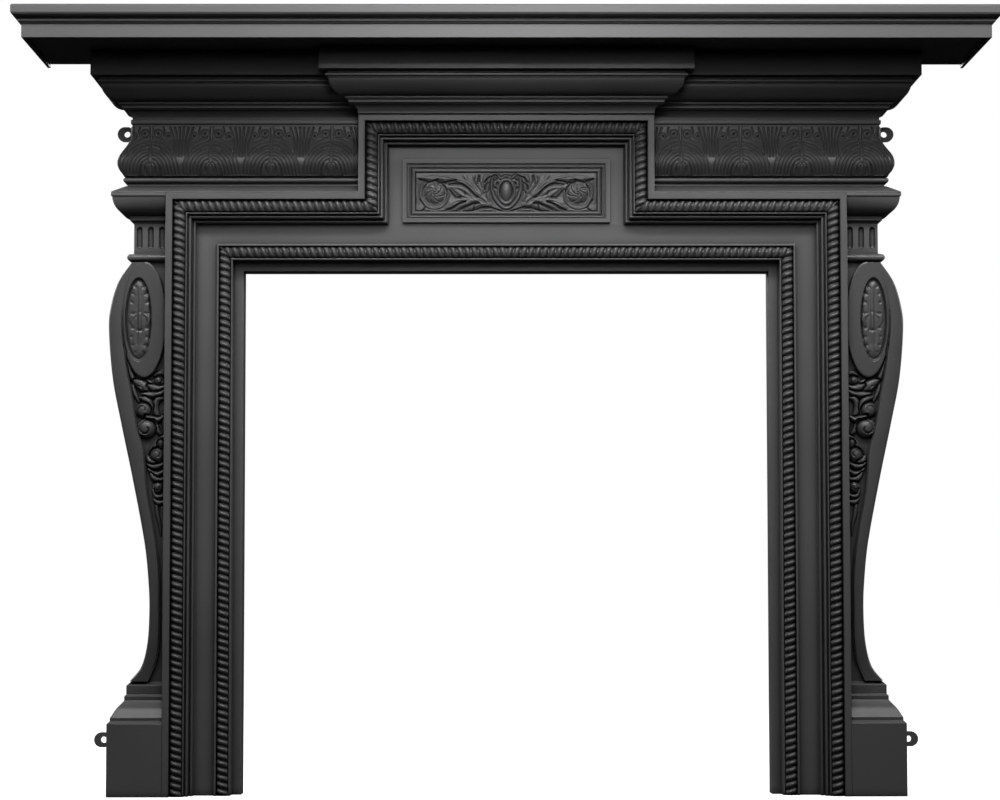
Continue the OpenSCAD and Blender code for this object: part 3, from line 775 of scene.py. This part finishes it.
B, W = bulge_w / MM, waist_w / MM
FOOT, TALL = console_foot / MM, console_h / MM
EDGE = [(d, FOOT + z * TALL) for d, z in [
    (62, 1), (0.845 * B, 0.952), (0.97 * B, 0.893), (B, 0.837), (0.927 * B, 0.721),
    (0.771 * B, 0.611), (57, 0.479), (W + 9.5, 0.332), (W + 1.5, 0.23), (W, 0.16),
    (W + 3, 0.09), (W + 13, 0.035), (60, 0)]]
STRAP = [(d, FOOT + z * TALL) for d, z in [
    (0.745 * B, 0.885), (0.685 * B, 0.765), (0.575 * B, 0.68), (0.478 * B, 0.6), (37, 0.546),
    (31, 0.453), (18, 0.356), (8.8, 0.26), (7.5, 0.18), (8, 0.1), (13, 0.05), (28, 0)]]
DISC, DISC_R = (38.0, 818.2), (38.0, 101.0)
SUNK, SUNK_R = (48.3, 818.0), (22.8, 71.5)
print("consoles are", B, "wide at the disc and", W, "at the waist")

# %% Leaves and scrolls of the console
def carve_console_scrolls(r):
    """u is the distance outwards from the frame's edge, v the height from the floor. The
    forms are laid from the back to the front, each with a moat that parts it from the
    last."""
    # sheath beside the disc
    r.mass([(71, 768), (66, 742), (60, 722), (53, 706)], [2.0, 3.2, 4.5, 5.0, 3.0], 9.1, moat=1.2)
    r.mass([(58, 704), (56, 694), (51, 684), (47, 676)], [3.2, 5.0, 3.7, 2.0], 6.5)
    # leaves and volutes just below the disc
    r.mass([(2, 722), (10, 726), (19, 722)], [2.5, 5.0, 3.7], 7.8)
    r.mass([(33, 713), (27, 708), (20, 703)], [3.7, 5.5, 4.2], 9.1)
    r.mass([(55, 712), (47, 708), (39, 702), (32, 694)], [3.7, 8.7, 10.7, 6.2], 12.5)
    r.groove([(50, 704), (43, 701), (37, 694)], 1.2, 1.8, 0.8)
    r.coil((13, 712), 9.1, 11.2, 20, 1.0, 1, cut=3.2, line=1.4)
    r.mass([(30, 704), (22, 700), (13, 698), (4, 701)], [3.7, 7.7, 7.4, 5.0], 11.2)
    r.mass([(42, 690), (33, 688.5), (22, 688), (11, 690), (4, 695)],
           [2.7, 5.2, 6.0, 5.5, 3.0], 10.4)
    r.groove([(36, 690), (24, 690.5), (12, 693)], 0.9, 1.4, 0.7)
    # the first ball, which grows out of a leaf above it
    r.mass([(4, 682), (14, 680), (19, 670), (17, 658), (12, 650), (6, 646)],
           [2.2, 5.5, 6.4, 6.0, 4.2, 2.5], 9.6)
    r.groove([(12, 680), (16, 670), (14, 658)], 1.0, 1.6, 0.7)
    r.mass([(46, 683), (38, 681), (30, 676), (26, 667), (27, 655)], [2.0, 5.5, 6.4, 5.5, 3.2], 10.7)
    r.coil((39, 661), 14.3, 13.8, 250, 0.85, 1, cut=4.2, line=1.9)
    # the large scroll
    r.mass([(3, 664), (4, 652), (4, 640), (3, 628)], [1.7, 3.7, 4.0, 2.5], 7.0)
    r.mass([(34, 650), (24, 646), (14, 645), (5, 650)], [3.7, 6.4, 5.7, 3.0], 10.9)
    r.mass([(5, 618), (12, 624), (18, 634), (22, 642)], [2.5, 5.0, 5.5, 3.7], 9.6)
    r.coil((34, 629.5), 17.5, 14.6, 155, 1.0, -1, cut=4.6, line=2.0)
    # the stem to the third scroll, with its bud
    r.mass([(4, 616), (12, 610), (19, 601), (25, 590), (29, 577)], [3.2, 4.7, 5.2, 5.2, 4.5], 9.1)
    r.groove([(8, 614), (17, 604), (24, 591)], 0.9, 1.4, 0.7)
    r.mass([(9, 605), (8, 598)], [6.4, 6.2, 4.0], 9.1)
    r.coil((15, 583), 13.6, 12.7, 310, 0.8, 1, cut=3.4, line=1.6)
    r.mass([(31, 580), (27, 573), (20, 571)], [3.7, 6.4, 3.7], 10.7)
    r.mass([(32, 569), (24, 564), (14, 564), (5, 569)], [2.2, 4.5, 5.0, 3.0], 9.9)
    # the tail
    r.mass([(30, 560), (23, 553), (14, 551), (4, 556)], [2.2, 4.7, 5.0, 3.0], 8.8)
    r.mass([(26, 552), (20, 544), (12, 541), (4, 543)], [2.5, 5.5, 5.0, 3.0], 8.3)
    r.coil((13, 528.5), 9.9, 10.1, 120, 0.9, -1, cut=3.2, line=1.5)
    r.mass([(22, 524), (18, 514), (10, 512), (3, 515)], [2.0, 3.7, 4.2, 2.5], 7.3)
    r.mass([(21, 508), (13, 502), (4, 503)], [2.0, 5.0, 3.7], 7.0)
    r.mass([(16, 496), (14, 482), (10, 466), (8, 446)], [3.0, 4.0, 3.2, 1.5], 4.7, moat=0.8,
           ground=0.2)
    r.mass([(6, 494), (6, 478), (4, 462)], [2.5, 3.0, 1.5], 4.2, moat=0.8, ground=0.2)


# %% Rosette of the console
def carve_console_rosette(r):
    """Carved about the origin, with its own field at height 0. A leaf grows up and one
    down from a waist that is bound by a barrel."""
    x = np.hypot(r.u / 20.5, r.v / 69.0)
    r.h = np.where(x < 1, 3.6 * np.clip(1 - x ** 5, 0, 1) ** 0.5, r.h)
    for up in (1, -1):
        r.stroke([(2.6, up * 12), (2.6, up * 34), (1.5, up * 58)], 6.0, 4.7, 3.2, 4.0)
        for s in (-1, 1):
            # the folds of the lobes, and the eyes between them
            for out, high, turn in [(11, 22, 40), (11.5, 37, 34), (8.0, 51, 28)]:
                r.ball((2 + s * out, up * high), 5.8, 3.1, 9.4, -s * up * turn)
            for out, high in [(13.0, 30), (11.0, 44.5), (7.5, 57)]:
                r.hole((1.5 + s * out, up * high), 1.9, 2.4, 3.2, -s * up * 48)
            r.groove([(2.6 + s * 4.6, up * 14), (2.6 + s * 4.6, up * 30), (2 + s * 3.2, up * 44)],
                     1.1, 1.5, 0.8)
    for s in (-1, 1):
        r.mass([(2.6 + s * 7, 9), (2.6 + s * 13, 6), (2.6 + s * 15, -1), (2.6 + s * 12, -10)],
               [3.0, 5.0, 5.0, 3.4], 5.0, moat=0.9, ground=2.0, fullness=2.0)
        r.hole((2.6 + s * 12.0, 9.6), 4.2, 2.6, 1.7, s * 14)
        r.hole((2.6 + s * 12.0, -15.2), 4.2, 2.6, 1.7, -s * 10)
    r.mass([(2.6, 10), (2.6, -15)], [3.6, 4.4, 3.6], 6.2, moat=1.3, ground=2.0, fullness=2.4)
    r.groove([(-2.4, -18.5), (2.6, -19.5), (7.6, -18.5)], 1.2, 2.4, 1.2)


# %% The strap
GROUND = flank_face / MM           # the casting behind the carving, in mm from the wall
SKIN = GROUND + 0.35
ROOT = GROUND - 0.6                # where edges are rooted inside the casting
EDGE_ROUND, INNER_ROUND = 4.6, 2.6  # how far the strap's two edges are rounded
JOIN_Z = 775                       # above it the disc runs on into the strap


def rounded(t):
    """A quarter round from 0 to 1."""
    return np.sqrt(1 - (1 - np.clip(t, 0, 1)) ** 2)


def strap_crown(z, middle):
    """How far the strap stands out. At its foot it comes down to the block below it."""
    foot = np.clip((z - FOOT) / 75, 0, 1)
    lift = np.clip((z - 640) / 110, 0, 1)
    round_back = 0.9 * np.sin(np.pi * np.clip(middle, 0, 1)) * foot
    return 8.8 + 2.9 * foot ** 2 * (3 - 2 * foot) + round_back + 1.2 * lift ** 2 * (3 - 2 * lift)


def add_strap(depth, z, to_edge, to_inner, crown):
    """A flat-backed band from the outline to its inner edge, with a furrow beside it."""
    fall = rounded(to_inner / INNER_ROUND)
    rise = rounded(to_edge / EDGE_ROUND)
    band = ROOT + (crown + 0.6) * np.minimum(rise, np.where(to_inner > 0, fall, 0))
    depth = np.where(to_inner > 0, np.maximum(depth, band), depth)
    beside = np.clip(1 + to_inner / 1.6, 0, 1) * (to_inner <= 0) * (z < 770)
    return depth - (depth - SKIN) * beside


# %% The disc
def add_disc(depth, e, z, to_edge, crown):
    """Its outer side runs on into the strap, parted from it by a furrow only."""
    rise = rounded(to_edge / EDGE_ROUND)
    x = np.hypot((e - DISC[0]) / DISC_R[0], (z - DISC[1]) / DISC_R[1])
    level = GROUND + 13.5 + 0.5 * np.clip(1 - x * x, 0, 1)
    disc = level - 2.2 * (1 - rounded((1 - x) * DISC_R[0] / 1.8))
    disc = disc - 1.6 * np.clip((9 - e) / 9, 0, 1) ** 2
    moat = np.hypot((e - DISC[0]) / (DISC_R[0] + 2.4), (z - DISC[1]) / (DISC_R[1] + 3.4)) < 1
    outer, upper = e > DISC[0], z >= JOIN_Z
    depth = np.where(moat & (x >= 1) & ~upper, np.minimum(depth, SKIN), depth)
    depth = np.where(outer & (x >= 1) & upper, ROOT + (crown + 0.6) * rise, depth)
    depth = np.where(~outer & (x >= 1) & upper, SKIN, depth)
    depth = np.where(x < 1, np.where(outer & (z > 835), level, disc), depth)
    depth = np.where((x < 1) & (to_edge < EDGE_ROUND), np.minimum(depth, ROOT + 14.6 * rise), depth)
    seam = np.exp(-((x - 1.0) * DISC_R[0] / 1.5) ** 2) * outer * (z > 760)
    return depth - 3.4 * seam * np.clip((848 - z) / 60, 0, 1)


# %% The sinking and its rosette
def add_sinking(depth, e, z):
    du, dz = (e - SUNK[0]) / SUNK_R[0], (z - SUNK[1]) / SUNK_R[1]
    x = np.hypot(du, dz)
    steep = np.clip((1.03 - x) / 0.06, 0, 1)
    deep = 5.2 + 0.8 * np.clip(-du * 0.8 + dz * 0.5, -1, 1)
    deep = deep - 1.6 * np.clip((-dz - 0.6) / 0.4, 0, 1) + 1.2 * np.exp(-((x - 0.95) / 0.045) ** 2)
    rosette = Relief(-(e - SUNK[0]), z - SUNK[1], 0.0)
    carve_console_rosette(rosette)
    rosette.soften(6)
    sunk = GROUND + 13.9 - deep * steep + np.where(x < 1, np.clip(rosette.h, 0, None), 0)
    return np.where(x < 1.03, np.minimum(sunk, GROUND + 15.2), depth)


# %% The consoles
def console_surface(e, z):
    """Depth in mm in front of the wall, at a distance e from the frame and a height z."""
    edge, strap = curve_at(EDGE, z), curve_at(STRAP, z)
    to_edge, to_inner = np.clip(edge - e, 0, None), e - strap
    crown = strap_crown(z, to_edge / np.maximum(edge - strap, 1))
    scrolls = Relief(e, z, 0.0)
    carve_console_scrolls(scrolls)
    scrolls.soften(1)
    depth = SKIN + np.clip(scrolls.h, -0.2, None)
    depth = add_strap(depth, z, to_edge, to_inner, crown)
    depth = add_disc(depth, e, z, to_edge, crown)
    return add_sinking(depth, e, z)


def console(name, low, high_z, rows, cols):
    z = np.linspace(low, high_z, rows)
    s = np.linspace(0, 1, cols)
    edge = curve_at(EDGE, z) - 0.1
    zz = np.repeat(z[:, None], cols, 1)
    e = edge[:, None] * (1 - s[None, :])
    depth = console_surface(e, zz)
    depth[:, 0] = GROUND - 1.0
    made = Carving()
    made.grid(np.stack([-(frame_half + e * MM), wall_y - depth * MM, zz * MM], -1))
    made.piece(name + "_left", iron)
    made.mirrored().piece(name + "_right", iron)


CARVED_FROM = 440                  # the carving dies away here, and the plain strap goes on
console("console_carving", CARVED_FROM, 917.6, 620, 128)
console("console_strap", 195.4, CARVED_FROM, 110, 48)

# %% [markdown]
# ## Floor, backdrop and light
# A plain white room shows the black iron best. The floor and the world are white to the
# camera and darker to the iron, so that the undersides stay deep. The soft lamps of a
# studio stand high in front, which draws every moulding with a bright upper side and a
# dark lower one. One more lights the back, and one each end.

# %% A white for the floor
def stage_white(name, seen, felt, glow):
    """White to the camera, where a glow helps the far floor, and darker to its light."""
    material = bpy.data.materials.new(name)
    material.use_nodes = True
    nodes, links = material.node_tree.nodes, material.node_tree.links
    shader = nodes["Principled BSDF"]
    shader.inputs["Roughness"].default_value = 0.9
    shader.inputs["Specular IOR Level"].default_value = 0.1
    to_camera = nodes.new("ShaderNodeLightPath").outputs["Is Camera Ray"]
    colour = blended(nodes, links, to_camera, (felt, felt, felt, 1), (seen, seen, seen, 1))
    links.new(colour, shader.inputs["Base Color"])

    where = nodes.new("ShaderNodeTexCoord")
    away = nodes.new("ShaderNodeVectorMath")
    away.operation = "LENGTH"
    links.new(where.outputs["Object"], away.inputs[0])
    far = stretched(nodes, links, away.outputs["Value"], 1.0, 4.0, glow, 1.0)
    glow_seen = nodes.new("ShaderNodeMath")
    glow_seen.operation = "MULTIPLY"
    links.new(to_camera, glow_seen.inputs[0])
    links.new(far, glow_seen.inputs[1])
    shader.inputs["Emission Color"].default_value = (1, 1, 1, 1)
    links.new(glow_seen.outputs["Value"], shader.inputs["Emission Strength"])
    return material


# %% Floor
def make_floor():
    floor_mesh = bpy.data.meshes.new("floor")
    far = 30.0
    floor_mesh.from_pydata([(-far, -far, 0), (far, -far, 0), (far, far, 0), (-far, far, 0)],
                           [], [(0, 1, 2, 3)])
    floor_mesh.materials.append(stage_white("floor_white", 0.9, 0.04, 0.9))
    floor = bpy.data.objects.new("floor", floor_mesh)
    bpy.context.scene.collection.objects.link(floor)
    print("floor:", 2 * far, "m across")


make_floor()

# %% World
def make_world(seen, felt):
    world = bpy.data.worlds.new("room")
    bpy.context.scene.world = world
    world.use_nodes = True
    nodes, links = world.node_tree.nodes, world.node_tree.links
    out = nodes["World Output"]
    soft = nodes["Background"]
    soft.inputs["Color"].default_value = (1, 1, 1, 1)
    soft.inputs["Strength"].default_value = felt
    white = nodes.new("ShaderNodeBackground")
    white.inputs["Color"].default_value = (1, 1, 1, 1)
    white.inputs["Strength"].default_value = seen
    path = nodes.new("ShaderNodeLightPath")
    mix = nodes.new("ShaderNodeMixShader")
    links.new(path.outputs["Is Camera Ray"], mix.inputs["Fac"])
    links.new(soft.outputs["Background"], mix.inputs[1])
    links.new(white.outputs["Background"], mix.inputs[2])
    links.new(mix.outputs["Shader"], out.inputs["Surface"])
    print("world:", seen, "to the camera and", felt, "to the iron")


make_world(1.0, 0.02)

# %% Lamps
def area_lamp(name, at, toward, size, power, spread):
    data = bpy.data.lights.new(name, "AREA")
    data.shape = "RECTANGLE"
    data.size, data.size_y = size
    data.energy = power
    data.spread = math.radians(spread)      # a narrow spread keeps a lamp to its place
    lamp = bpy.data.objects.new(name, data)
    lamp.location = at
    lamp.rotation_mode = "QUATERNION"
    lamp.rotation_quaternion = (Vector(toward) - Vector(at)).to_track_quat("-Z", "Y")
    bpy.context.scene.collection.objects.link(lamp)


for name, at, toward, size, power, spread in [
        ("high_front", (0.0, -1.15, 2.40), (0, 0.05, 1.1), (3.0, 0.3), 20, 110),
        ("over_front", (0.05, -1.35, 1.98), (0, 0.05, 1.15), (2.9, 0.45), 3.8, 80),
        ("middle", (0.05, -2.0, 1.80), (0.03, 0.05, 1.22), (0.5, 0.2), 0.7, 50),
        ("front", (0.0, -3.9, 1.75), (0, 0, 0.95), (2.6, 1.0), 1.1, 60),
        ("behind", (-0.9, 3.0, 2.1), (0, 0.14, 0.7), (2.4, 1.2), 26, 120),
        # the ends get theirs from behind the wall's plane, so the front stays as it is
        ("left_end", (-3.0, 0.95, 1.5), (-0.7, 0.05, 0.8), (0.9, 0.9), 6, 90),
        ("right_end", (3.0, 0.95, 1.5), (0.7, 0.05, 0.8), (0.9, 0.9), 6, 90)]:
    area_lamp(name, at, toward, size, power, spread)
    print(f"lamp {name}: {power} W")

# %% [markdown]
# ## Camera
# A long lens stands well back, a little left of the middle and at knee height, and
# looks slightly up, which shows the undersides of the shelf and the cornice.

# %% Camera
camera_data = bpy.data.cameras.new("camera")
camera_data.sensor_width = 36.0
camera_data.lens = 96.44
camera = bpy.data.objects.new("camera", camera_data)
camera.location = (-0.04, wall_y - 4.6897, 0.3762)
look_right, look_up, roll = math.radians(0.357), math.radians(3.746), math.radians(-0.05)
camera.rotation_mode = "QUATERNION"
camera.rotation_quaternion = (Matrix.Rotation(-look_right, 3, "Z")
                              @ Matrix.Rotation(math.radians(90) + look_up, 3, "X")
                              @ Matrix.Rotation(roll, 3, "Z")).to_quaternion()
bpy.context.scene.collection.objects.link(camera)
bpy.context.scene.camera = camera
bpy.context.scene.view_settings.view_transform = "Standard"
print("camera at", tuple(camera.location), "with a", camera_data.lens, "mm lens")
